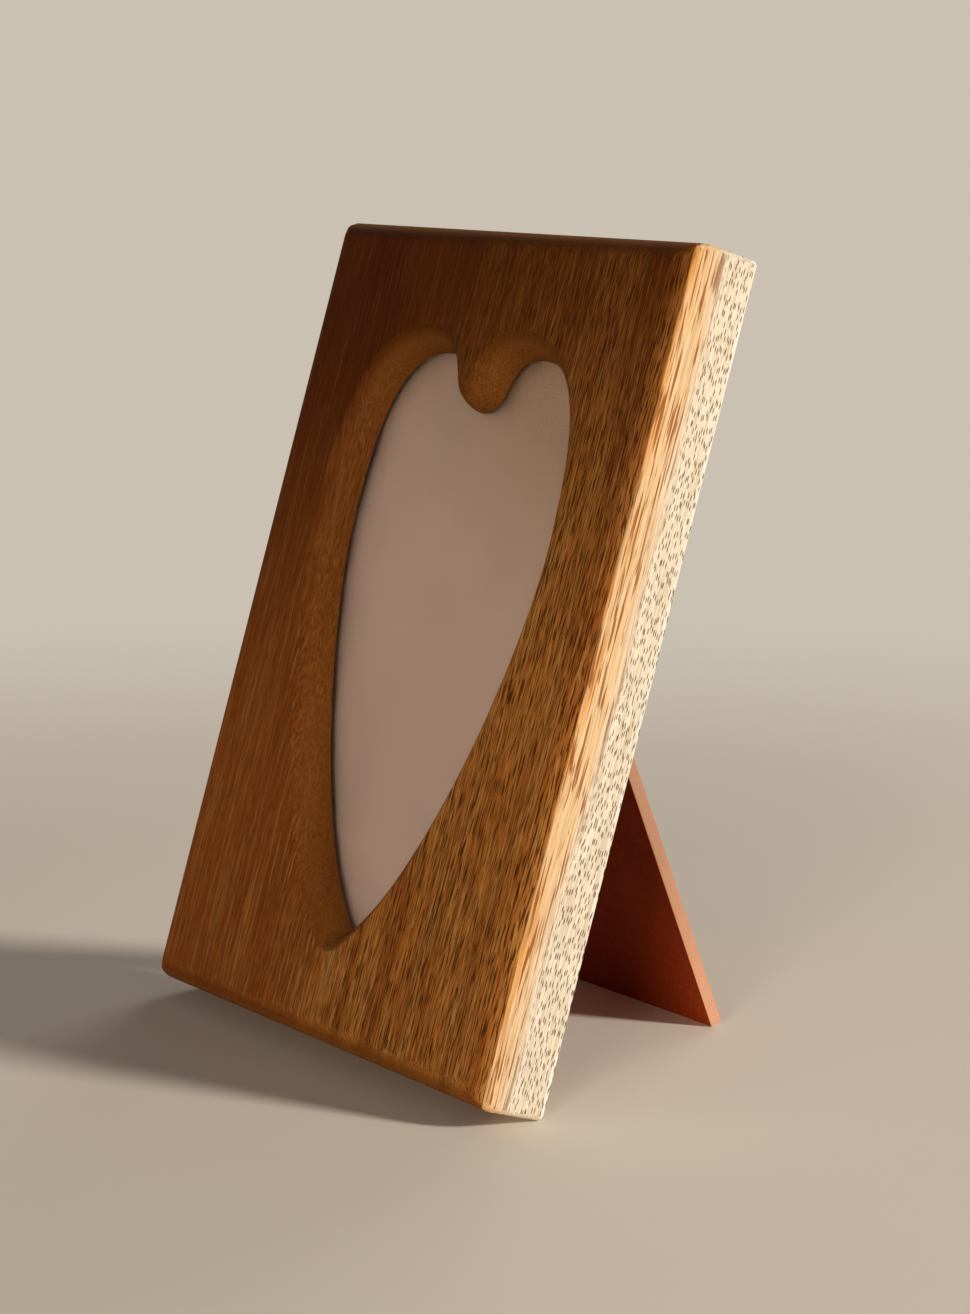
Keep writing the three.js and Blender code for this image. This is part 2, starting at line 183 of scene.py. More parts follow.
class Workpiece:
    """A mesh on the bench: shaped as by hand, then set in its place and dressed."""

    def __init__(self, name: str, scale: Triple = (1.0, 1.0, 1.0)) -> None:
        """Takes over the object that was just added.

        Args:
            name: The name that the piece keeps.
            scale: How far it is stretched along each axis.
        """
        self.shape: bpy.types.Object = bpy.context.active_object
        self.shape.name = name
        self.shape.data.name = name
        self.shape.scale = scale
        bpy.ops.object.transform_apply()

    @classmethod
    def box(cls, name: str, low: Vector, high: Vector) -> "Workpiece":
        """Adds a named cube and stretches it between two corners."""
        bpy.ops.mesh.primitive_cube_add(size=1, location=(low + high) / 2)
        return cls(name, high - low)

    @classmethod
    def rod(cls, name: str, low: Vector, length: float, radius: float, along: Axis, sides: int) -> "Workpiece":
        """Adds a cylinder that starts at a point.

        Args:
            name: The piece's name.
            low: The middle of its starting end.
            length: Its length.
            radius: Its radius.
            along: The axis that it runs along.
            sides: How many sides it has.

        Returns:
            The piece.
        """
        middle = low + along.vector * length / 2
        turn = Axis.THROUGH.vector.rotation_difference(along.vector).to_euler()
        bpy.ops.mesh.primitive_cylinder_add(
            vertices=sides, radius=radius, depth=length, location=middle, rotation=turn)
        return cls(name)

    def copy(self, name: str) -> "Workpiece":
        """Copies the piece under a new name, with a mesh of its own.

        Args:
            name: The copy's name.

        Returns:
            The copy.
        """
        self.hold()
        bpy.ops.object.duplicate(linked=False)
        return Workpiece(name)

    def hold(self) -> None:
        """Makes this the one piece that is selected and active."""
        bpy.ops.object.select_all(action="DESELECT")
        self.shape.select_set(True)
        bpy.context.view_layer.objects.active = self.shape

    def pick(self, items: str, chosen: Callable[[bpy.types.bpy_struct], bool]) -> None:
        """Selects some of the mesh and opens it in edit mode.

        Args:
            items: The kind of item, as the mesh names it: vertices, edges or polygons.
            chosen: Says whether an item is selected.
        """
        modes = {"vertices": "VERT", "edges": "EDGE", "polygons": "FACE"}
        self.hold()
        bpy.ops.object.mode_set(mode="EDIT")
        bpy.ops.mesh.select_mode(type=modes[items])
        bpy.ops.mesh.select_all(action="DESELECT")
        bpy.ops.object.mode_set(mode="OBJECT")
        for item in getattr(self.shape.data, items):
            item.select = chosen(item)
        bpy.ops.object.mode_set(mode="EDIT")

    def pick_all(self) -> None:
        """Selects the whole mesh and opens it in edit mode."""
        self.pick("vertices", lambda vertex: True)

    def pick_points(self, where: PointTest) -> None:
        """Selects the vertices that pass a test of their place."""
        self.pick("vertices", lambda vertex: where(vertex.co))

    def pick_edges(self, where: PointTest, along: Axis | None = None) -> None:
        """Selects the edges whose two ends pass a test of their place.

        Args:
            where: The test.
            along: The axis that the edges run along, or none for every way.
        """
        points = self.shape.data.vertices

        def chosen(edge: bpy.types.MeshEdge) -> bool:
            """Says whether an edge runs the right way and both of its ends pass.

            Args:
                edge: The edge.

            Returns:
                Whether it is selected.
            """
            start, end = (points[i].co for i in edge.vertices)
            way = (end - start).normalized()
            fits = along is None or abs(way.dot(along.vector)) > 1 - NEAR
            return fits and where(start) and where(end)

        self.pick("edges", chosen)

    def pick_faces(self, where: PointTest) -> None:
        """Selects the faces whose corners all pass a test of their place."""
        points = self.shape.data.vertices
        self.pick("polygons", lambda face: all(where(points[i].co) for i in face.vertices))

    def close(self) -> None:
        """Leaves edit mode."""
        bpy.ops.object.mode_set(mode="OBJECT")

    def shift(self, offset: Triple) -> None:
        """Moves the whole mesh and leaves edit mode.

        Args:
            offset: How far it moves along each axis.
        """
        self.pick_all()
        bpy.ops.transform.translate(value=offset)
        self.close()

    def bevel(self, width: float, segments: int, corners: bool = False) -> None:
        """Rounds the picked edges over, then leaves edit mode.

        Args:
            width: How far the round reaches from each edge.
            segments: How many flats make up the round.
            corners: Rounds picked corners of a flat sheet in place of edges.
        """
        kind = "VERTICES" if corners else "EDGES"
        bpy.ops.mesh.bevel(offset=width, segments=segments, profile=0.5, affect=kind, clamp_overlap=False)
        self.close()

    def ease(self, low: float, high: float, width: float) -> None:
        """Eases the edges of a board that lies between two depths."""
        self.pick_edges(lambda point: point.z > high - NEAR or point.z < low + NEAR)
        self.bevel(width, ARRIS_STEPS)

    def modify(self, kind: str, **settings: object) -> None:
        """Adds a modifier and applies it.

        Args:
            kind: The modifier's type.
            settings: Its settings.
        """
        modifier = self.shape.modifiers.new(kind.lower(), kind)
        for name, value in settings.items():
            setattr(modifier, name, value)
        self.hold()
        bpy.ops.object.modifier_apply(modifier=modifier.name)

    def cut(self, tool: "Workpiece") -> None:
        """Cuts a tool's shape out of the piece, and uses the tool up."""
        self.modify("BOOLEAN", operation="DIFFERENCE", solver="EXACT", object=tool.shape)
        bpy.data.objects.remove(tool.shape)

    def drill(self, spots: list[Vector], radius: float, low: float, high: float, sides: int = DRILL_SIDES) -> None:
        """Drills holes into the piece from its rear.

        Args:
            spots: The middle of each hole.
            radius: The holes' radius.
            low: The depth of the face that the drill enters.
            high: The depth that it reaches.
            sides: How many sides a hole has.
        """
        start = low - OVERCUT
        for spot in spots:
            self.cut(Workpiece.rod(
                "drill", Vector((spot.x, spot.y, start)), high - start, radius, Axis.THROUGH, sides))

    def mend(self) -> None:
        """Merges doubled points and turns every face outwards."""
        self.pick_all()
        bpy.ops.mesh.remove_doubles(threshold=NEAR / 10)
        bpy.ops.mesh.normals_make_consistent(inside=False)
        self.close()

    def smooth(self, crease: float = 50.0) -> None:
        """Shades rounds smoothly and keeps flats flat.

        Args:
            crease: Edges that turn more than this many degrees stay sharp.
        """
        self.hold()
        bpy.ops.object.shade_smooth_by_angle(angle=math.radians(crease))
        self.modify("WEIGHTED_NORMAL", keep_sharp=True)

    def dress(self, place: Place, material: bpy.types.Material, slot: str, node: str) -> bpy.types.Object:
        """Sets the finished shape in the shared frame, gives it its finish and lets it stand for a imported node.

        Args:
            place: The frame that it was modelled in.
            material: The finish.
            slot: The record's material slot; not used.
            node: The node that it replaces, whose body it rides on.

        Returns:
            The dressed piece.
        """
        self.hold()
        self.shape.matrix_world = place.matrix
        bpy.ops.object.transform_apply()
        self.shape.data.materials.clear()
        self.shape.data.materials.append(material)
        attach(self.shape, frame["nodes"][node]["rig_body"])
        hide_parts(node)
        log.info("%s: %d faces, for %s", self.shape.name, len(self.shape.data.polygons), node)
        return self.shape


def extrude(run: float, along: Axis = Axis.THROUGH) -> None:
    """Draws the picked faces out along an axis."""
    bpy.ops.mesh.extrude_region_move(TRANSFORM_OT_translate={"value": run * along.vector})


def linear(hex_colour: str) -> tuple[float, float, float, float]:
    """Turns an sRGB colour of six hex digits into linear red, green and blue, with full alpha."""
    shares = [int(hex_colour[i:i + 2], 16) / 255 for i in (0, 2, 4)]
    return *(c / 12.92 if c <= 0.04045 else ((c + 0.055) / 1.055) ** 2.4 for c in shares), 1.0


def feed(tree: Tree, node: Node, inputs: dict) -> None:
    """Sets and links the inputs of a shader node.

    Args:
        tree: The node tree.
        node: The node.
        inputs: For each input in use, by name or number, its value or hex colour, or the node or output that feeds it.
    """
    sockets = [socket for socket in node.inputs if socket.enabled]
    for key, value in inputs.items():
        socket = sockets[key] if isinstance(key, int) else next(s for s in sockets if s.name == key)
        if isinstance(value, Node):
            value = next(output for output in value.outputs if output.enabled)
        if isinstance(value, Socket):
            tree.links.new(value, socket)
        else:
            socket.default_value = linear(value) if isinstance(value, str) else value


def add_node(tree: Tree, kind: str, inputs: dict | None = None, **settings: object) -> Node:
    """Adds a shader node, with its settings, values and links.

    Args:
        tree: The node tree.
        kind: The node's type, without its common prefix.
        inputs: What goes into each input in use.
        settings: The node's own settings.

    Returns:
        The node.
    """
    node = tree.nodes.new("ShaderNode" + kind)
    for name, value in settings.items():
        setattr(node, name, value)
    feed(tree, node, inputs or {})
    return node


def times(tree: Tree, first: Node, second: Node | Socket) -> Node:
    """Multiplies two shares."""
    return add_node(tree, "Math", {0: first, 1: second}, operation="MULTIPLY")


def blend(tree: Tree, share: Node | float, first: Node | str, second: Node | str, way: str = "MIX") -> Node:
    """Mixes a share of a second colour into a first one."""
    return add_node(tree, "Mix", {0: share, 1: first, 2: second}, data_type="RGBA", blend_type=way)


def ramp(tree: Tree, value: Node | Socket, span: Span, result: Span = (0.0, 1.0)) -> Node:
    """Eases from one result to another as a value crosses a span."""
    ends = zip(("From Min", "From Max", "To Min", "To Max"), (*span, *result))
    return add_node(tree, "MapRange", {"Value": value, **dict(ends)}, interpolation_type="SMOOTHSTEP")


def slanted(tree: Tree, spot: Node | Socket, slant: float) -> Node:
    """Measures how far up a spot lies, with a share of how far right it lies."""
    axes = add_node(tree, "SeparateXYZ", {0: spot})
    return add_node(tree, "Math", {0: axes.outputs[0], 1: slant, 2: axes.outputs[1]}, operation="MULTIPLY_ADD")


@dataclass(frozen=True)
class Finish:
    """What a surface is made of and how it was made."""

    place: Place

    def material(self, name: str) -> bpy.types.Material:
        """Makes the material, with its pattern in the millimetres of the piece's own frame.

        Args:
            name: The material's name.

        Returns:
            The material.
        """
        made = bpy.data.materials.new(name)
        made.use_nodes = True
        tree = made.node_tree
        spot, turn, _ = self.place.matrix.decompose()
        coordinates = add_node(tree, "TexCoord")
        local = add_node(tree, "Mapping", {
            "Vector": coordinates.outputs["Object"], "Location": spot, "Rotation": turn.to_euler(),
            "Scale": (MM, MM, MM),
        }, vector_type="TEXTURE")
        feed(tree, tree.nodes["Principled BSDF"], self.shade(tree, local.outputs[0]))
        return made

    def shade(self, tree: Tree, local: Socket) -> dict[str, object]:
        """Builds the pattern.

        Args:
            tree: The material's node tree.
            local: The place on the piece, in millimetres.

        Returns:
            What goes into the inputs of the surface shader.
        """
        raise NotImplementedError


@dataclass(frozen=True)
class OiledMangoWood(Finish):
    """Mango wood, sanded and oiled: dark open pores along a warm brown grain, and pale sapwood towards the bark.

    Zones lie this many millimetres from the pith, and the painted shade zone up the block. The parts of the grain,
    from drift to tube, have their sizes in millimetres across, up and through the block.
    """

    heart: str = "AC6E30"
    heart_dark: str = "7F3F12"
    heart_light: str = "C29658"
    moulded: str = "935E2B"
    # Painted sheen and light: a greyer tone on faces that turn away from the front.
    umber: str = "4C2408"
    honey: str = "E9CBA2"
    gold: str = "DDA25A"
    sap: str = "E9E0CE"
    pore: str = "391C08"
    honey_pore: str = "8E521C"
    sap_pore: str = "5E4622"
    # Painted highlight along the rear arris.
    rubbed: str = "FFFBF0"
    shade_tone: str = "DDD6CE"
    # Painted shade: a tone multiplied in towards the upper left of the block, where the front falls in shade.
    crown_tone: str = "91816C"
    pith: Triple = (-128.0, 0.0, 175.0)
    young_zone: Span = (165.0, 225.0)
    honey_zone: Span = (256.8, 257.4)
    gold_zone: Span = (256.8, 259.0)
    sap_zone: Span = (260.6, 263.2)
    dash_zone: Span = (261.5, 263.6)
    fray: float = 1.6
    crown_zone: Span = (60.0, 205.0)
    crown_slant: float = -0.35
    drift: Triple = (40.0, 170.0, 40.0)
    drift_reach: float = 6.0
    streak: Triple = (9.0, 190.0, 300.0)
    thread: Triple = (0.8, 30.0, 0.8)
    fibre: Triple = (0.45, 14.0, 0.45)
    fleck: Triple = (2.2, 20.0, 2.2)
    stroke: Triple = (0.27, 5.2, 0.27)
    long_stroke: Triple = (0.62, 9.0, 0.62)
    line: Triple = (0.55, 15.0, 0.55)
    dash: Triple = (0.6, 3.6, 1.0)
    tube: Triple = (1.3, 60.0, 1.3)
    pore_depth: float = 0.12
    fibre_depth: float = 0.1

    def sources(self, tree: Tree, local: Socket) -> dict[str, Node | Socket]:
        """Builds the layers of the grain, and measures where each spot lies in the tree and how its face looks.

        Args:
            tree: The material's node tree.
            local: The place on the block, in millimetres.

        Returns:
            Each layer and measure by its name.
        """
        # The grain drifts sideways as it runs up the board.
        cells = add_node(tree, "VectorMath", {0: local, 1: self.drift}, operation="DIVIDE")
        noise = add_node(tree, "TexNoise", {"Vector": cells, "Scale": 1.0, "Detail": 2.5})
        centred = add_node(tree, "VectorMath", {0: noise.outputs["Color"], 1: (0.5, 0.5, 0.5)}, operation="SUBTRACT")
        reach = (self.drift_reach, 0.0, self.drift_reach)
        grain = add_node(tree, "VectorMath", {0: centred, 1: reach, 2: local}, operation="MULTIPLY_ADD")

        # Growth rings run round the pith, and the bark lies beyond the right rear edge of the board.
        radii = []
        for source in (grain, local):
            spoke = add_node(tree, "VectorMath", {0: source, 1: self.pith}, operation="SUBTRACT")
            level = add_node(tree, "VectorMath", {0: spoke, 1: (1.0, 0.0, 1.0)}, operation="MULTIPLY")
            radii.append(add_node(tree, "VectorMath", {0: level}, operation="LENGTH"))
        ring, depth = radii
        axes = add_node(tree, "SeparateXYZ", {0: grain})
        rings = add_node(tree, "CombineXYZ", {0: ring, 1: axes.outputs[1], 2: axes.outputs[2]})
        girth = add_node(tree, "Math", {0: axes.outputs[0], 1: axes.outputs[2]}, operation="SUBTRACT")
        skin = add_node(tree, "CombineXYZ", {0: girth, 1: axes.outputs[1]})

        # Pores show as strokes along the grain, and as dots where the block is cut across it. Real ones are about
        # 0.2 mm wide: these are drawn coarser, up to three times as wide on the cut ends, so that they show.
        found = {"depth": depth}
        for name, kind, source, cell, settings in (
            ("streak", "TexNoise", rings, self.streak, {"Detail": 3.0, "Roughness": 0.55}),
            ("thread", "TexNoise", grain, self.thread, {"Detail": 1.0}),
            ("fibre", "TexNoise", grain, self.fibre, {"Detail": 2.0, "Roughness": 0.6}),
            ("fleck", "TexNoise", grain, self.fleck, {"Detail": 1.0}),
            ("stroke", "TexNoise", grain, self.stroke, {"Detail": 0.6}),
            ("long_stroke", "TexVoronoi", grain, self.long_stroke, {}),
            ("line", "TexNoise", grain, self.line, {"Detail": 2.0}),
            ("tube", "TexVoronoi", grain, self.tube, {}),
            ("dash", "TexVoronoi", skin, self.dash, {"Randomness": 0.8}),
        ):
            cells = add_node(tree, "VectorMath", {0: source, 1: cell}, operation="DIVIDE")
            found[name] = add_node(tree, kind, {"Vector": cells, "Scale": 1.0, **settings})
        found["dash"].voronoi_dimensions = "2D"

        normal = add_node(tree, "NewGeometry").outputs["Normal"]
        _, up, front = self.place.axes.col
        upward = add_node(tree, "VectorMath", {0: normal, 1: up}, operation="DOT_PRODUCT")
        found["end_grain"] = add_node(tree, "Math", {0: upward}, operation="ABSOLUTE")
        found["forward"] = add_node(tree, "VectorMath", {0: normal, 1: front}, operation="DOT_PRODUCT")

        # Painted shade darkens the wood towards its upper left corner, and its pale zones start along frayed lines.
        found["from_rear"] = add_node(tree, "SeparateXYZ", {0: local}).outputs[2]
        found["corner"] = slanted(tree, grain, self.crown_slant)
        for name, radius in (("frayed", depth), ("ragged", ring)):
            fray = {0: found["fleck"], 1: self.fray, 2: radius}
            found[name] = add_node(tree, "Math", fray, operation="MULTIPLY_ADD")
        return found

    def shares(self, tree: Tree, sources: dict[str, Node | Socket]) -> dict[str, Node]:
        """Works out how much of each colour and of each kind of pore shows.

        Args:
            tree: The material's node tree.
            sources: The layers and measures that the shares follow.

        Returns:
            Each share by its name.
        """
        rows = (
            ("dark", "streak", (0.56, 0.36), (0.0, 0.7)),
            # Darker young wood near the pith, which also carries painted shade towards the left of the front.
            ("young", "depth", self.young_zone, (0.8, 0.0)),
            # Painted sheen and light on faces that turn away from the front.
            ("moulded", "forward", (0.95, 0.6), (0.0, 0.45)),
            ("end", "end_grain", (0.15, 0.7), (0.0, 0.6)),
            ("light", "thread", (0.48, 0.66), (0.0, 0.5)),
            ("fibre", "fibre", (0.30, 0.70), (0.0, 1.0)),
            ("gold", "fleck", (0.35, 0.65), (0.1, 1.0)),
            ("edge", "depth", self.gold_zone, (1.0, 0.12)),
            ("grown", "depth", self.young_zone, (0.35, 1.0)),
            # Painted shade towards the upper left of the block.
            ("crown", "corner", self.crown_zone, (0.0, 1.0)),
            ("along", "end_grain", (0.12, 0.5), (1.0, 0.12)),
            ("honey", "frayed", self.honey_zone, (0.0, 1.0)),
            ("sap", "ragged", self.sap_zone, (0.0, 1.0)),
            ("dashed", "ragged", self.dash_zone, (0.0, 1.0)),
            ("stroke", "stroke", (0.52, 0.60), (0.0, 0.85)),
            ("long_stroke", "long_stroke", (0.27, 0.17), (0.0, 0.6)),
            ("line", "line", (0.54, 0.61), (0.0, 0.9)),
            ("vein", "line", (0.53, 0.60), (0.0, 0.6)),
            ("dash", "dash", (0.27, 0.17), (0.0, 0.9)),
            ("tube", "tube", (0.3, 0.16), (0.0, 0.75)),
            ("across", "end_grain", (0.7, 0.95), (0.0, 1.0)),
            # The arris and flank shares mask the painted rim highlight along the rear arris.
            ("arris", "from_rear", (1.5, 0.7), (0.0, 0.85)),
            ("flank", "forward", (-0.95, -0.8), (0.0, 1.0)),
        )
        return {name: ramp(tree, sources[source], span, result) for name, source, span, result in rows}

    def shade(self, tree: Tree, local: Socket) -> dict[str, object]:
        """Builds the grain as a solid pattern, so that every cut face shows its own side of it.

        Args:
            tree: The material's node tree.
            local: The place on the block, in millimetres.

        Returns:
            What goes into the inputs of the surface shader.
        """
        sources = self.sources(tree, local)
        shares = self.shares(tree, sources)
        pores = add_node(tree, "Math", {0: shares["stroke"], 1: shares["long_stroke"]}, operation="MAXIMUM")
        pores = times(tree, pores, shares["grown"])
        pore_colour = self.pore
        for zone, kind, colour in (
            ("honey", "line", self.honey_pore),
            ("sap", "vein", self.sap_pore),
            ("dashed", "dash", self.sap_pore),
        ):
            pores = add_node(tree, "Mix", {0: shares[zone], 1: pores, 2: shares[kind]})
            pore_colour = blend(tree, shares[zone], pore_colour, colour)
        pores = times(tree, pores, shares["along"])
        dots = {0: shares["tube"], 1: shares["across"], 2: pores}
        pores = add_node(tree, "Math", dots, operation="MULTIPLY_ADD", use_clamp=True)

        light = times(tree, times(tree, shares["light"], shares["along"]), shares["grown"])
        honey = blend(tree, times(tree, shares["gold"], shares["edge"]), self.honey, self.gold)
        # Painted highlight: a near-white rim on the rear arris, on faces that don't look straight back.
        sap = blend(tree, times(tree, shares["arris"], shares["flank"]), self.sap, self.rubbed)
        tone = blend(tree, shares["fibre"], self.shade_tone, WHITE)
        wood = self.heart
        for share, colour, way in (
            (shares["dark"], self.heart_dark, "MIX"),
            # Darker near the pith: young wood, with painted shade towards the left.
            (shares["young"], self.heart_dark, "MIX"),
            (shares["end"], self.umber, "MIX"),
            (light, self.heart_light, "MIX"),
            # Painted shade towards the upper left.
            (shares["crown"], self.crown_tone, "MULTIPLY"),
            # Painted sheen and light on faces turned from the front.
            (shares["moulded"], self.moulded, "MIX"),
            (shares["honey"], honey, "MIX"),
            (shares["sap"], sap, "MIX"),
            (1.0, tone, "MULTIPLY"),
            (pores, pore_colour, "MIX"),
        ):
            wood = blend(tree, share, wood, colour, way)

        hollows = {0: sources["fibre"], 1: self.fibre_depth, 2: pores}
        relief = add_node(tree, "Math", hollows, operation="MULTIPLY_ADD")
        bump = add_node(tree, "Bump", {
            "Strength": 0.5, "Distance": self.pore_depth * MM, "Height": relief,
        }, invert=True)
        rough = add_node(tree, "MapRange", {"Value": pores, "To Min": 0.52, "To Max": 0.8})
        return {"Base Color": wood, "Roughness": rough, "Normal": bump, "Specular IOR Level": 0.02}


@dataclass(frozen=True)
class EtchedGlass(Finish):
    """Picture glass, etched and coated against glare: the eye looks straight through and meets no sharp reflection."""

    tint: str = "FAFCFB"
    ripple_size: float = 40.0

    def shade(self, tree: Tree, local: Socket) -> dict[str, object]:
        """Sets a clear body whose coating bends light little, with a trace of the ripple of float glass.

        Args:
            tree: The material's node tree.
            local: The place on the pane, in millimetres.

        Returns:
            What goes into the inputs of the surface shader.
        """
        ripple = add_node(tree, "TexNoise", {"Vector": local, "Scale": 1 / self.ripple_size, "Detail": 1.0})
        bump = add_node(tree, "Bump", {"Strength": 0.02, "Distance": MM, "Height": ripple})
        return {
            "Base Color": self.tint, "Roughness": 0.25, "Normal": bump, "IOR": 1.15,
            "Specular IOR Level": 0.25, "Transmission Weight": 1.0,
        }


@dataclass(frozen=True)
class FlatSheet(Finish):
    """Pressed sheet goods, such as card or fibreboard: the eye sees a matt ground with short fibres in it."""

    ground: str
    fleck: str
    fleck_size: float
    fleck_share: float = 0.35
    cloud_size: float = 22.0
    cloud: str = "E6E6E6"
    rough: float = 0.85
    relief: float = 0.02
    # Painted shadow: a tone multiplied in towards the upper right of the sheet.
    toned: str = WHITE
    toned_zone: Span = (110.0, 185.0)
    toned_slant: float = 0.5

    def shade(self, tree: Tree, local: Socket) -> dict[str, object]:
        """Scatters fibres over a slightly cloudy ground, with painted shadow towards its upper right where one is
        given.

        Args:
            tree: The material's node tree.
            local: The place on the sheet, in millimetres.

        Returns:
            What goes into the inputs of the surface shader.
        """
        speck = add_node(tree, "TexNoise", {
            "Vector": local, "Scale": 1 / self.fleck_size, "Detail": 4.0, "Roughness": 0.65, "Distortion": 1.5,
        })
        cloud = add_node(tree, "TexNoise", {"Vector": local, "Scale": 1 / self.cloud_size, "Detail": 2.0})
        share = add_node(tree, "MapRange", {
            "Value": speck, "From Min": 0.5, "From Max": 0.72, "To Max": self.fleck_share,
        })
        flecked = blend(tree, share, self.ground, self.fleck)
        colour = blend(tree, 1.0, flecked, blend(tree, cloud, WHITE, self.cloud), "MULTIPLY")
        # Painted shadow darkens the sheet towards its upper right.
        toned = ramp(tree, slanted(tree, local, self.toned_slant), self.toned_zone)
        colour = blend(tree, toned, colour, self.toned, "MULTIPLY")
        bump = add_node(tree, "Bump", {"Strength": 0.5, "Distance": self.relief * MM, "Height": speck})
        return {"Base Color": colour, "Roughness": self.rough, "Normal": bump, "Specular IOR Level": 0.08}


@dataclass(frozen=True)
class PlatedSteel(Finish):
    """Pressed steel with a bright plating: the eye sees a metal sheen, softened by fine rubbing marks."""

    plate: str
    worn: str
    polish: Span = (0.18, 0.44)
    mark: Triple = (9.0, 0.35, 0.35)
    spot_size: float = 3.0
    mark_depth: float = 0.01

    def shade(self, tree: Tree, local: Socket) -> dict[str, object]:
        """Draws rubbing marks and dull spots over the plating.

        Args:
            tree: The material's node tree.
            local: The place on the piece, in millimetres.

        Returns:
            What goes into the inputs of the surface shader.
        """
        cells = add_node(tree, "VectorMath", {0: local, 1: self.mark}, operation="DIVIDE")
        marks = add_node(tree, "TexNoise", {"Vector": cells, "Scale": 1.0, "Detail": 3.0})
        spots = add_node(tree, "TexNoise", {"Vector": local, "Scale": 1 / self.spot_size, "Detail": 3.0})
        share = add_node(tree, "MapRange", {"Value": spots, "From Min": 0.45, "From Max": 0.75})
        bright, dull = self.polish
        rough = add_node(tree, "MapRange", {"Value": marks, "To Min": bright, "To Max": dull})
        bump = add_node(tree, "Bump", {"Strength": 0.2, "Distance": self.mark_depth * MM, "Height": marks})
        colour = blend(tree, share, self.plate, self.worn)
        return {"Base Color": colour, "Roughness": rough, "Normal": bump, "Metallic": 1.0}


@dataclass
class HeartOpening:
    """The heart-shaped opening: a straight lip over the glass, then a bevel that widens to the front face."""

    card_low: Vector
    card_high: Vector
    rear: float
    front: float
    lip_overlap_side: float = 5.3
    lip_overlap_top: float = 6.2
    lip_overlap_bottom: float = 2.8
    bevel_depth: float = 8.0
    bevel_inset: float = 5.5
    bevel_belly: float = math.radians(28)
    crest_offset: float = 19.6
    notch_drop: float = 14.1
    notch_radius: float = 7.8
    notch_flank_angle: float = math.radians(65)
    widest_drop: float = 43.7
    tip_radius: float = 3.3
    tip_half_angle: float = math.radians(55.5)
    flank_run: float = 7.2
    crest_inner_run: float = 8.1
    crest_outer_run: float = 24.4
    shoulder_run: float = 18.4
    cheek_run: float = 25.2
    tip_run: float = 31.0
    lean: float = math.radians(0.8)
    front_easing: float = 0.9
    undercut: float = 1.0
    undercut_depth: float = 0.7
    curve_steps: int = 28
    bevel_steps: int = 10
    easing_steps: int = 4

    def knots(self) -> list[tuple[Vector, Vector, Vector]]:
        """Lays out the heart at its lip, clockwise from its notch.

        Returns:
            Each knot of the curve, with the handle before it and the handle after it.
        """
        crest = self.card_high.y - self.lip_overlap_top
        half_width = self.card_high.x - self.lip_overlap_side
        widest = crest - self.widest_drop
        notch_low = crest - self.notch_drop
        tip_low = self.card_low.y + self.lip_overlap_bottom
        notch_pull = 4 / 3 * math.tan(self.notch_flank_angle / 4) * self.notch_radius
        tip_turn = math.pi / 2 - self.tip_half_angle
        tip_pull = 4 / 3 * math.tan(tip_turn / 4) * self.tip_radius
        flank_way = Vector((math.cos(self.notch_flank_angle), math.sin(self.notch_flank_angle), 0))
        flank = Vector((self.notch_radius * flank_way.y, notch_low + self.notch_radius * (1 - flank_way.x), 0))
        tip_way = Vector((math.sin(self.tip_half_angle), math.cos(self.tip_half_angle), 0))
        tip = Vector((self.tip_radius * tip_way.y, tip_low + self.tip_radius * (1 - tip_way.x), 0))
        right = Axis.ACROSS.vector
        up = Axis.UP.vector
        top = Vector((self.crest_offset, crest, 0))
        cheek = Vector((half_width, widest, 0))
        notch = Vector((0, notch_low, 0))
        point = Vector((0, tip_low, 0))
        half = [
            (flank, flank - notch_pull * flank_way, flank + self.flank_run * flank_way),
            (top, top - self.crest_inner_run * right, top + self.crest_outer_run * right),
            (cheek, cheek + self.shoulder_run * up, cheek - self.cheek_run * up),
            (tip, tip + self.tip_run * tip_way, tip - tip_pull * tip_way),
        ]
        flip = Vector((-1, 1, 1))
        mirrored = [(knot * flip, after * flip, before * flip) for knot, before, after in reversed(half)]
        start = (notch, notch - notch_pull * right, notch + notch_pull * right)
        end = (point, point + tip_pull * right, point - tip_pull * right)
        # The heart was routed a touch out of true: it leans about its middle, with its tip to the right.
        middle = Vector((0, (crest + tip_low) / 2, 0))
        turn = Matrix.Rotation(self.lean, 3, "Z")
        upright = [start, *half, end, *mirrored]
        return [tuple(middle + turn @ (spot - middle) for spot in knot) for knot in upright]

    def rings(self) -> list[tuple[float, float]]:
        """Works out the cutter's rings, from the undercut behind the lip to past the front face.

        Returns:
            How far each ring stands outside the lip, and how far forward it lies.
        """
        slope = math.atan2(self.bevel_depth, self.bevel_inset)
        radius = math.hypot(self.bevel_depth, self.bevel_inset) / (2 * math.sin(self.bevel_belly))
        lip_slope = slope + self.bevel_belly
        front_slope = slope - self.bevel_belly
        lip_front = self.front - self.bevel_depth
        centre_out = radius * math.sin(lip_slope)
        centre_level = lip_front - radius * math.cos(lip_slope)
        relief = self.rear + self.undercut_depth
        rings = [(self.undercut, self.rear - OVERCUT / 2), (self.undercut, relief), (0.0, relief + NEAR)]
        for i in range(self.bevel_steps + 1):
            turn = lip_slope + (front_slope - lip_slope) * i / self.bevel_steps
            rings.append((centre_out - radius * math.sin(turn), centre_level + radius * math.cos(turn)))
        # The front arris is eased by a small round that ends flush with the front face.
        tangent = self.front_easing * math.tan(front_slope / 2)
        rings.pop()
        for i in range(self.easing_steps + 1):
            turn = front_slope * (1 - i / self.easing_steps)
            out = self.bevel_inset + tangent - self.front_easing * math.sin(turn)
            rings.append((out, self.front - self.front_easing * (1 - math.cos(turn))))
        rings.append((rings[-1][0] + NEAR, self.front + OVERCUT))
        return rings

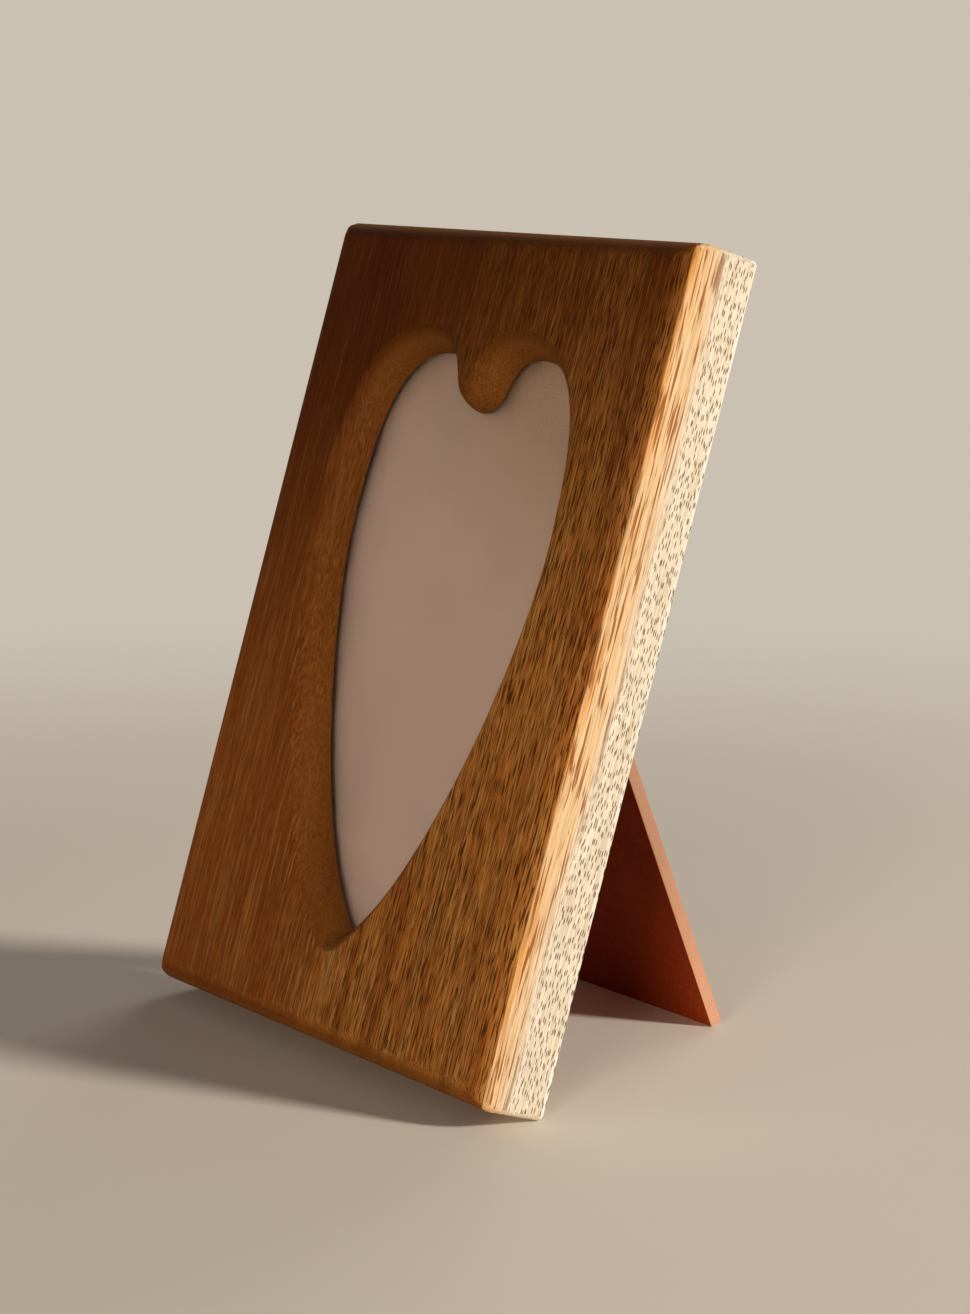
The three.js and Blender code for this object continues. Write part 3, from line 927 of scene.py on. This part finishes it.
    def cutter(self) -> Workpiece:
        """Draws the heart, raises it ring by ring and widens each ring.

        Returns:
            The closed tool that cuts the opening.
        """
        bpy.ops.curve.primitive_bezier_curve_add()
        curve = bpy.context.active_object.data
        curve.dimensions = "3D"
        curve.resolution_u = self.curve_steps
        spline = curve.splines[0]
        knots = self.knots()
        spline.bezier_points.add(len(knots) - len(spline.bezier_points))
        for point, (knot, before, after) in zip(spline.bezier_points, knots):
            point.handle_left_type = "FREE"
            point.handle_right_type = "FREE"
            point.co, point.handle_left, point.handle_right = knot, before, after
        spline.use_cyclic_u = True
        bpy.ops.object.convert(target="MESH")
        tool = Workpiece("heart_cutter")
        tool.mend()
        start = self.rear - OVERCUT
        out, level = 0.0, start
        tool.pick_all()
        bpy.ops.transform.translate(value=(0, 0, level))
        for next_out, next_level in self.rings():
            bpy.ops.mesh.select_mode(type="EDGE")
            bpy.ops.mesh.extrude_edges_move(TRANSFORM_OT_translate={"value": (0, 0, next_level - level)})
            bpy.ops.transform.shrink_fatten(value=next_out - out, use_even_offset=True)
            out, level = next_out, next_level
        bpy.ops.mesh.edge_face_add()
        tool.close()
        tool.pick_edges(lambda point: point.z < start + NEAR)
        bpy.ops.mesh.edge_face_add()
        tool.close()
        tool.mend()
        return tool


@dataclass
class FrameBlock:
    """The hardwood block: rounded over at the front, rebated at the back and pierced by the heart."""

    place: Place
    roundover: float = 6.0
    roundover_steps: int = 10
    rear_easing: float = 0.9
    rear_steps: int = 3
    corner_radius: float = 1.5
    rebate_clearance: float = 0.5
    rebate_corner: float = 4.0
    glass_gap: float = 0.3
    pilot_radius: float = 1.7
    pilot_depth: float = 9.7

    def sanded_block(self) -> Workpiece:
        """Rounds the front over, softens the corners and eases the back.

        Returns:
            The block before it is pierced.
        """
        low, high = self.place.box("frame_block")
        block = Workpiece.box("heart_block", low, high)
        block.pick_edges(lambda point: point.z > high.z - NEAR)
        bpy.ops.transform.edge_bevelweight(value=1.0)
        block.close()
        block.pick_edges(lambda point: True, Axis.THROUGH)
        bpy.ops.transform.edge_bevelweight(value=self.corner_radius / self.roundover)
        block.close()
        block.modify("BEVEL", width=self.roundover, segments=self.roundover_steps, limit_method="WEIGHT")
        block.pick_edges(lambda point: point.z < low.z + NEAR)
        block.bevel(self.rear_easing, self.rear_steps)
        return block

    def build(self) -> Workpiece:
        """Cuts the rebate, the heart and the screw holes into the block.

        Returns:
            The finished block, in its own frame.
        """
        block = self.sanded_block()
        _, block_high = self.place.box("frame_block")
        board_low, board_high = self.place.box("backboard")
        _, glass_high = self.place.box("glass_pane")
        room = Vector((self.rebate_clearance, self.rebate_clearance, 0))
        floor = glass_high.z + self.glass_gap
        rebate_low = Vector((board_low.x, board_low.y, board_low.z - OVERCUT)) - room
        rebate_high = Vector((board_high.x, board_high.y, floor)) + room
        rebate = Workpiece.box("rebate_cutter", rebate_low, rebate_high)
        rebate.pick_edges(lambda point: True, Axis.THROUGH)
        rebate.bevel(self.rebate_corner, CORNER_STEPS)
        block.cut(rebate)
        heart = HeartOpening(*self.place.box("photo_insert"), rear=floor, front=block_high.z)
        block.cut(heart.cutter())
        pivots = [joint["pos_m"] for joint in frame["joints"] if joint["name"].endswith("_swivel")]
        spots = [self.place.point(Vector(pivot)) for pivot in pivots]
        block.drill(spots, self.pilot_radius, 0.0, self.pilot_depth)
        block.mend()
        block.smooth()
        return block

    def dress(self) -> None:
        """Builds the block and oils it."""
        finish = OiledMangoWood(self.place).material("oiled_mango_wood")
        self.build().dress(self.place, finish, "hardwood", "frame_block")


def rebate_sheet(place: Place, name: str, node: str, arris: float) -> Workpiece:
    """Cuts a flat sheet for the rebate, with rounded corners and eased edges.

    Args:
        place: The block's frame.
        name: The piece's name.
        node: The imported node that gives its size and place.
        arris: How far its edges are eased.

    Returns:
        The sheet.
    """
    low, high = place.box(node)
    sheet = Workpiece.box(name, low, high)
    sheet.pick_edges(lambda point: True, Axis.THROUGH)
    sheet.bevel(SHEET_CORNER, SHEET_CORNER_STEPS)
    sheet.ease(low.z, high.z, arris)
    return sheet


@dataclass
class Glazing:
    """What the heart shows: the glass, the plain card behind it and the board that backs the card."""

    place: Place
    glass_arris: float = 0.2
    card_arris: float = 0.08

    def dress(self) -> None:
        """Builds and dresses the three sheets."""
        # The card carries painted shadow towards its upper right.
        card = FlatSheet(self.place, ground="BFA497", fleck="B09486", fleck_size=0.5, fleck_share=0.12, rough=0.8,
                         relief=0.004, toned="D8CDBB")
        grey = FlatSheet(self.place, ground="918A7D", fleck="6F695F", fleck_size=0.8, rough=0.95)
        for name, node, arris, finish, material, slot in (
            ("clear_glass", "glass_pane", self.glass_arris, EtchedGlass(self.place), "etched_picture_glass", "glass"),
            ("plain_card", "photo_insert", self.card_arris, card, "uncoated_card", "insert_card"),
            ("grey_backing", "backing_card", self.card_arris, grey, "pressed_greyboard", "greyboard"),
        ):
            sheet = rebate_sheet(self.place, name, node, arris)
            sheet.smooth()
            sheet.dress(self.place, finish.material(material), slot, node)


def rivet_spots(place: Place, leaf: str) -> list[Vector]:
    """Finds the middles of the two rivets of the fixed or the swing leaf."""
    boxes = [place.box(f"{leaf}_leaf_rivet_{side.word}") for side in Side]
    return [(low + high) / 2 for low, high in boxes]


@dataclass
class BoardWork:
    """The fibreboard parts: the backboard in the rebate and the easel stand behind it.

    A face that looks less to the front or rear than the edge facing is a sawn edge.
    """

    block_place: Place
    stand_place: Place
    arris: float = 0.35
    stand_top_width: float = 23.0
    stand_top_radius: float = 3.0
    hole_radius: float = 1.3
    edge_facing: float = 0.6

    def backboard(self) -> Workpiece:
        """Cuts the backboard, with the holes that its rivets go through.

        Returns:
            The board.
        """
        low, high = self.block_place.box("backboard")
        board = rebate_sheet(self.block_place, "fibre_backboard", "backboard", self.arris)
        board.drill(rivet_spots(self.block_place, "fixed"), self.hole_radius, low.z, high.z + OVERCUT)
        board.smooth()
        return board

    def stand(self) -> Workpiece:
        """Saws the stand to its taper, rounds its top corners and drills it.

        Returns:
            The stand.
        """
        low, high = self.stand_place.box("easel_stand")
        stand = Workpiece.box("fibre_stand", low, high)
        stand.pick_points(lambda point: point.y > high.y - NEAR)
        taper = self.stand_top_width / (high.x - low.x)
        bpy.ops.transform.resize(value=(taper, 1, 1), center_override=(0, high.y, 0))
        stand.close()
        stand.pick_edges(lambda point: point.y > high.y - NEAR, Axis.THROUGH)
        stand.bevel(self.stand_top_radius, CORNER_STEPS)
        stand.ease(low.z, high.z, self.arris)
        stand.drill(rivet_spots(self.stand_place, "swing"), self.hole_radius, low.z, high.z + OVERCUT)
        stand.smooth()
        return stand

    def dress(self) -> None:
        """Builds both boards and dresses their smooth faces, and their sawn edges with the paler core."""
        for board, place, node in (
            (self.backboard(), self.block_place, "backboard"),
            (self.stand(), self.stand_place, "easel_stand"),
        ):
            face = FlatSheet(place, ground="89310F", fleck="A4552F", fleck_size=1.1, fleck_share=0.55,
                             cloud="D8CFCB", rough=0.75)
            edge = FlatSheet(place, ground="D6A283", fleck="A87253", fleck_size=0.45, fleck_share=0.5,
                             rough=0.95, relief=0.06)
            piece = board.dress(place, face.material(f"smooth_fibreboard_{node}"), "fibreboard", node)
            piece.data.materials.append(edge.material(f"sawn_fibreboard_{node}"))
            _, _, front = place.axes.col
            for polygon in piece.data.polygons:
                polygon.material_index = int(abs(polygon.normal.dot(front)) < self.edge_facing)


def headed(name: str, radius: float, height: float, shank: float) -> Workpiece:
    """Forms a low dome that stands up to the rear, and picks the round of its underside that a shank grows from.

    Args:
        name: The piece's name.
        radius: The radius of its rim.
        height: Its height.
        shank: The shank's radius.

    Returns:
        The dome, with its flat underside at nought.
    """
    bpy.ops.mesh.primitive_uv_sphere_add(segments=DOME_SIDES, ring_count=DOME_RINGS, radius=1)
    piece = Workpiece(name)
    piece.pick_all()
    bpy.ops.mesh.bisect(plane_co=(0, 0, 0), plane_no=Axis.THROUGH.vector, use_fill=True, clear_outer=True)
    piece.close()
    piece.pick_all()
    bpy.ops.transform.resize(value=(radius, radius, height), center_override=(0, 0, 0))
    piece.close()
    piece.pick_faces(lambda point: abs(point.z) < NEAR)
    bpy.ops.mesh.inset(thickness=radius - shank)
    return piece


@dataclass
class StrutHinge:
    """The strut hinge: two pressed leaves with rolled knuckles, the pin, and a rivet in each corner.

    Each step of the pin's peening has its share of the head's depth, and how far it draws the head in.
    """

    hinge_place: Place
    stand_place: Place
    leaf_thickness: float = 0.8
    leaf_width: float = 18.0
    leaf_length: float = 14.0
    leaf_corner: float = 2.5
    knuckle_radius: float = 2.3
    knuckle_clearance: float = 2.6
    roll_angle: float = math.radians(300)
    roll_steps: int = 26
    tongue_width: float = 5.4
    fixed_knuckle: float = 3.0
    running_gap: float = 0.3
    edge_break: float = 0.12
    edge_angle: float = math.radians(60)
    pin_radius: float = 1.2
    pin_sides: int = 32
    pin_head_overhang: float = 0.5
    peening: tuple[Span, ...] = ((0.5, 0.94), (0.3, 0.85), (0.2, 0.7))
    rivet_shank: float = 1.0
    rivet_head_height: float = 1.1
    hole_radius: float = 1.3

    def leaf(self, name: str, inner: float, outer: float, tongue: float | None) -> Workpiece:
        """Presses a leaf that runs up from the pin, and rolls its knuckles round the pin.

        Args:
            name: The piece's name.
            inner: Where each knuckle starts, from the middle.
            outer: Where each knuckle ends.
            tongue: How far the stop tongue runs on past the pin, or none.

        Returns:
            The leaf.
        """
        half = self.leaf_width / 2
        start = self.knuckle_clearance
        end = start + self.leaf_length
        level = self.knuckle_radius - self.leaf_thickness / 2
        bpy.ops.mesh.primitive_plane_add(size=1, location=(0, (start + end) / 2, level))
        leaf = Workpiece(name, (self.leaf_width, self.leaf_length, 1))
        free_corners = outer < half - self.leaf_corner
        leaf.pick_points(lambda point: point.y > end - NEAR or free_corners)
        leaf.bevel(self.leaf_corner, CORNER_STEPS, corners=True)
        gap = 0.0 if tongue is None else self.tongue_width / 2
        for mark in (gap, inner, outer):
            for side in Side:
                if mark < half - NEAR:
                    leaf.pick_all()
                    bpy.ops.mesh.bisect(plane_co=(side.value * mark, 0, 0), plane_no=Axis.ACROSS.vector)
                    leaf.close()
        leaf.pick_edges(lambda point: point.y < start + NEAR and inner - NEAR < abs(point.x) < outer + NEAR,
                        Axis.ACROSS)
        bpy.ops.mesh.extrude_edges_move(TRANSFORM_OT_translate={"value": (0, -start, 0)})
        bpy.ops.mesh.spin(
            steps=self.roll_steps, angle=self.roll_angle, center=(0, 0, 0), axis=-Axis.ACROSS.vector)
        leaf.close()
        if tongue is not None:
            reach = self.tongue_width / 2 + NEAR
            leaf.pick_edges(lambda point: abs(point.y - start) < NEAR and abs(point.x) < reach
                            and point.z > level - NEAR, Axis.ACROSS)
            bpy.ops.mesh.extrude_edges_move(TRANSFORM_OT_translate={"value": (0, -start - tongue, 0)})
            leaf.close()
        leaf.mend()
        leaf.modify("SOLIDIFY", thickness=self.leaf_thickness, offset=0.0, use_even_offset=True)
        leaf.modify(
            "BEVEL", width=self.edge_break, segments=ARRIS_STEPS, limit_method="ANGLE", angle_limit=self.edge_angle)
        leaf.mend()
        return leaf

    def rivet(self, place: Place, node: str) -> Workpiece:
        """Forms a rivet: a low dome on a shank.

        Args:
            place: The frame of the leaf that it holds.
            node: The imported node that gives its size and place.

        Returns:
            The rivet.
        """
        low, high = place.box(node)
        middle = (low + high) / 2
        seat = low.z + self.rivet_head_height
        rivet = headed(f"formed_{node}", (high.x - low.x) / 2, self.rivet_head_height, self.rivet_shank)
        extrude(high.z - seat)
        rivet.close()
        rivet.shift((middle.x, middle.y, seat))
        rivet.mend()
        rivet.smooth()
        return rivet

    def pin(self) -> Workpiece:
        """Cuts the pin and peens both of its ends over.

        Returns:
            The pin.
        """
        _, high = self.hinge_place.box("hinge_pin")
        neck = self.leaf_width / 2 + self.running_gap
        head = (self.pin_radius + self.pin_head_overhang) / self.pin_radius
        pin = Workpiece.rod(
            "peened_pin", Vector((-neck, 0, 0)), 2 * neck, self.pin_radius, Axis.ACROSS, self.pin_sides)
        for side in Side:
            pin.pick_faces(lambda point: side.value * point.x > neck - NEAR)
            for run, size in ((0.0, head), *self.peening):
                extrude(side.value * run * (high.x - neck), Axis.ACROSS)
                bpy.ops.transform.resize(value=(1, size, size), center_override=(side.value * neck, 0, 0))
            pin.close()
        pin.mend()
        pin.smooth()
        return pin

    def dress(self) -> None:
        """Builds every piece of the hinge and plates it."""
        fixed_in = self.tongue_width / 2 + self.running_gap
        fixed_out = fixed_in + self.fixed_knuckle
        _, swing_high = self.stand_place.box("hinge_swing_leaf")
        fixed = self.leaf("pressed_fixed_leaf", fixed_in, fixed_out, None)
        swing = self.leaf("pressed_swing_leaf", fixed_out + self.running_gap, self.leaf_width / 2, swing_high.y)
        swing.pick_all()
        bpy.ops.transform.rotate(value=math.pi, orient_axis="X", center_override=(0, 0, 0))
        swing.close()
        slot = "plated_steel"
        finishes = {}
        for leaf, place, word in ((fixed, self.hinge_place, "fixed"), (swing, self.stand_place, "swing")):
            steel = PlatedSteel(place, plate="C9C6BE", worn="A39F95")
            finishes[word] = steel.material(f"nickel_plated_steel_{word}")
            node = f"hinge_{word}_leaf"
            low, high = place.box(node)
            leaf.drill(rivet_spots(place, word), self.hole_radius, low.z, high.z + OVERCUT)
            leaf.smooth(PRESSED_CREASE)
            leaf.dress(place, finishes[word], slot, node)
            for side in Side:
                rivet_node = f"{word}_leaf_rivet_{side.word}"
                self.rivet(place, rivet_node).dress(place, finishes[word], slot, rivet_node)
        self.pin().dress(self.hinge_place, finishes["fixed"], slot, "hinge_pin")


@dataclass
class TurnButtons:
    """The four turn buttons that hold the backboard, each on a round-headed screw."""

    place: Place
    pivot_radius: float = 5.0
    tip_radius: float = 3.6
    reach: float = 13.0
    rim_sides: int = 96
    hole_radius: float = 1.7
    hole_sides: int = 48
    edge_break: float = 0.22
    edge_steps: int = 3
    screw_shank: float = 1.4
    screw_point: float = 3.0
    screw_tip_share: float = 0.02
    screw_head_height: float = 1.8
    recess_width: float = 0.75
    recess_length: float = 3.4
    recess_depth: float = 1.1
    recess_taper: float = 0.6

    def button(self, low: float, high: float) -> Workpiece:
        """Presses a button from strip, with its pivot at the origin and its tip to the right.

        Args:
            low: The depth of its rear face.
            high: The depth of its front face.

        Returns:
            The button.
        """
        flare = math.acos((self.pivot_radius - self.tip_radius) / self.reach)
        bpy.ops.mesh.primitive_circle_add(
            vertices=self.rim_sides, radius=self.pivot_radius, fill_type="NGON", location=(0, 0, low))
        button = Workpiece("pressed_button")
        button.pick_points(lambda point: point.x > self.pivot_radius * math.cos(flare))
        shrink = self.tip_radius / self.pivot_radius
        bpy.ops.transform.resize(value=(shrink, shrink, 1), center_override=(0, 0, low))
        bpy.ops.transform.translate(value=(self.reach, 0, 0))
        button.close()
        button.pick_faces(lambda point: True)
        extrude(high - low)
        button.close()
        button.mend()
        button.drill([Vector()], self.hole_radius, low, high + OVERCUT, self.hole_sides)
        button.pick_edges(lambda point: point.z < low + NEAR)
        button.bevel(self.edge_break, self.edge_steps)
        button.mend()
        button.smooth(PRESSED_CREASE)
        return button

    def screw(self, low: float, high: float, radius: float) -> Workpiece:
        """Turns a round-headed wood screw, with its axis at the origin, and cuts its cross recess.

        Args:
            low: The depth of its head's crown.
            high: The depth of its point.
            radius: The radius of its head.

        Returns:
            The screw.
        """
        seat = low + self.screw_head_height
        screw = headed("turned_screw", radius, self.screw_head_height, self.screw_shank)
        extrude(high - seat - self.screw_point)
        extrude(self.screw_point)
        bpy.ops.transform.resize(
            value=(self.screw_tip_share, self.screw_tip_share, 1), center_override=(0, 0, 0))
        screw.close()
        screw.shift((0, 0, seat))
        screw.mend()
        floor = low + self.recess_depth
        for width, length in (
            (self.recess_length, self.recess_width),
            (self.recess_width, self.recess_length),
        ):
            corner = Vector((width / 2, length / 2, 0))
            top, bottom = (Vector((0, 0, depth)) for depth in (low - OVERCUT, floor))
            recess = Workpiece.box("recess_cutter", top - corner, bottom + corner)
            recess.pick_points(lambda point: point.z > floor - NEAR)
            bpy.ops.transform.resize(
                value=(self.recess_taper, self.recess_taper, 1), center_override=(0, 0, 0))
            recess.close()
            screw.cut(recess)
        screw.mend()
        screw.smooth(PRESSED_CREASE)
        return screw

    def dress(self) -> None:
        """Builds one button and one screw, and sets a copy of each at every pivot."""
        button_low, button_high = self.place.box("turn_button_upper_left")
        screw_low, screw_high = self.place.box("turn_button_screw_upper_left")
        button = self.button(button_low.z, button_high.z)
        screw = self.screw(screw_low.z, screw_high.z, (screw_high.x - screw_low.x) / 2)
        finish = PlatedSteel(self.place, plate="C7A560", worn="A27F3F").material("brass_plated_steel")
        for row in ("upper", "lower"):
            for side in Side:
                spot = f"{row}_{side.word}"
                joint = next(joint for joint in frame["joints"] if joint["name"] == f"{spot}_swivel")
                pivot = self.place.point(Vector(joint["pos_m"]))
                turn = math.pi if side is Side.RIGHT else 0.0
                where = self.place.moved(Vector((pivot.x, pivot.y, 0)), turn)
                for model, node in ((button, f"turn_button_{spot}"), (screw, f"turn_button_screw_{spot}")):
                    model.copy(f"brass_{node}").dress(where, finish, "brass", node)
        for model in (button, screw):
            bpy.data.objects.remove(model.shape)


@dataclass
class Studio:
    """The plain pale floor, the soft lights and the camera at the photograph's viewing angle."""

    photo_long_side: int = 1314
    focal_pixels: float = 3541.7
    sensor: float = 36.0
    eye: Triple = (0.7088, -0.4728, 0.2269)
    yaw: float = 56.29
    pitch: float = -8.93
    roll: float = 0.21
    floor_half: float = 4.0
    fade: Span = (0.22, 0.75)
    backdrop: str = "CBC1B2"
    floor_colour: str = "E6DDD0"
    ambient: float = 0.06
    lights: tuple[tuple[str, Triple, float, float, str], ...] = (
        ("key_light", (2.55, 1.72, 1.67), 0.6, 98.0, "FFF6EA"),
        ("front_light", (1.27, -1.55, 0.25), 0.5, 25.0, "FFEEDC"),
        ("rear_light", (-1.6, 2.4, 1.3), 1.6, 20.0, "FFFAF4"),
    )

    def camera(self) -> None:
        """Sets the camera where the photograph was taken from."""
        data = bpy.data.cameras.new("camera")
        data.sensor_width = self.sensor
        data.lens = self.focal_pixels * self.sensor / self.photo_long_side
        camera = bpy.data.objects.new("camera", data)
        bpy.context.scene.collection.objects.link(camera)
        upright = Matrix.Rotation(math.pi / 2 + math.radians(self.pitch), 4, "X")
        turn = Matrix.Rotation(math.radians(self.yaw), 4, "Z")
        tilt = Matrix.Rotation(math.radians(self.roll), 4, "Z")
        camera.matrix_world = Matrix.Translation(self.eye) @ turn @ upright @ tilt
        bpy.context.scene.camera = camera

    def floor(self) -> None:
        """Lays the floor, which fades into the background away from the object."""
        bpy.ops.mesh.primitive_plane_add(size=2 * self.floor_half)
        floor = bpy.context.active_object
        floor.name = "studio_floor"
        made = bpy.data.materials.new("matt_studio_floor")
        made.use_nodes = True
        tree = made.node_tree
        surface = tree.nodes["Principled BSDF"]
        feed(tree, surface, {"Base Color": self.floor_colour, "Roughness": 0.9})
        coordinates = add_node(tree, "TexCoord")
        away = add_node(tree, "VectorMath", {0: coordinates.outputs["Object"]}, operation="LENGTH")
        seen = add_node(tree, "LightPath").outputs["Is Camera Ray"]
        share = times(tree, ramp(tree, away, self.fade), seen)
        glow = add_node(tree, "Emission", {"Color": self.backdrop})
        mixed = add_node(tree, "MixShader", {0: share, 1: surface, 2: glow})
        feed(tree, tree.nodes["Material Output"], {"Surface": mixed})
        floor.data.materials.append(made)

    def world(self) -> None:
        """Surrounds the object with even light, and shows the camera a plain pale background."""
        world = bpy.data.worlds.new("studio_world")
        bpy.context.scene.world = world
        world.use_nodes = True
        tree = world.node_tree
        even = tree.nodes["Background"]
        feed(tree, even, {"Color": WHITE, "Strength": self.ambient})
        shown = add_node(tree, "Background", {"Color": self.backdrop, "Strength": 1.0})
        rays = add_node(tree, "LightPath").outputs
        seen = rays["Is Camera Ray"]
        for ray in ("Is Glossy Ray", "Is Transmission Ray"):
            seen = add_node(tree, "Math", {0: seen, 1: rays[ray]}, operation="MAXIMUM")
        mixed = add_node(tree, "MixShader", {0: seen, 1: even, 2: shown})
        feed(tree, tree.nodes["World Output"], {"Surface": mixed})

    def lamps(self) -> None:
        """Hangs the soft lights, each turned to the middle of the object."""
        low, high = CAD_BOX
        middle = (low + high) / 2
        for name, spot, size, power, colour in self.lights:
            data = bpy.data.lights.new(name, "AREA")
            data.shape = "DISK"
            data.size = size
            data.energy = power
            data.color = linear(colour)[:3]
            lamp = bpy.data.objects.new(name, data)
            bpy.context.scene.collection.objects.link(lamp)
            lamp.location = spot
            lamp.visible_camera = False
            lamp.rotation_euler = (middle - Vector(spot)).to_track_quat("-Z", "Y").to_euler()

    def set_up(self) -> None:
        """Sets up the whole studio."""
        self.camera()
        self.floor()
        self.world()
        self.lamps()
        bpy.context.scene.view_settings.view_transform = "Standard"


def main() -> None:
    """Builds the sub-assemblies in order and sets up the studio."""
    logging.basicConfig(level=logging.INFO, format="%(name)s: %(message)s")
    hinge = next(joint for joint in frame["joints"] if joint["name"] == "stand_hinge")
    block_place = Place.of_block(frame["record"])
    hinge_place = block_place.moved(block_place.point(Vector(hinge["pos_m"])))
    stand_place = hinge_place.moved(Vector(), math.radians(hinge["range_deg"][1]), Axis.ACROSS)
    for assembly in (
        FrameBlock(block_place),
        Glazing(block_place),
        BoardWork(block_place, stand_place),
        StrutHinge(hinge_place, stand_place),
        TurnButtons(block_place),
    ):
        assembly.dress()
    Studio().set_up()


if __name__ == "__main__":
    main()
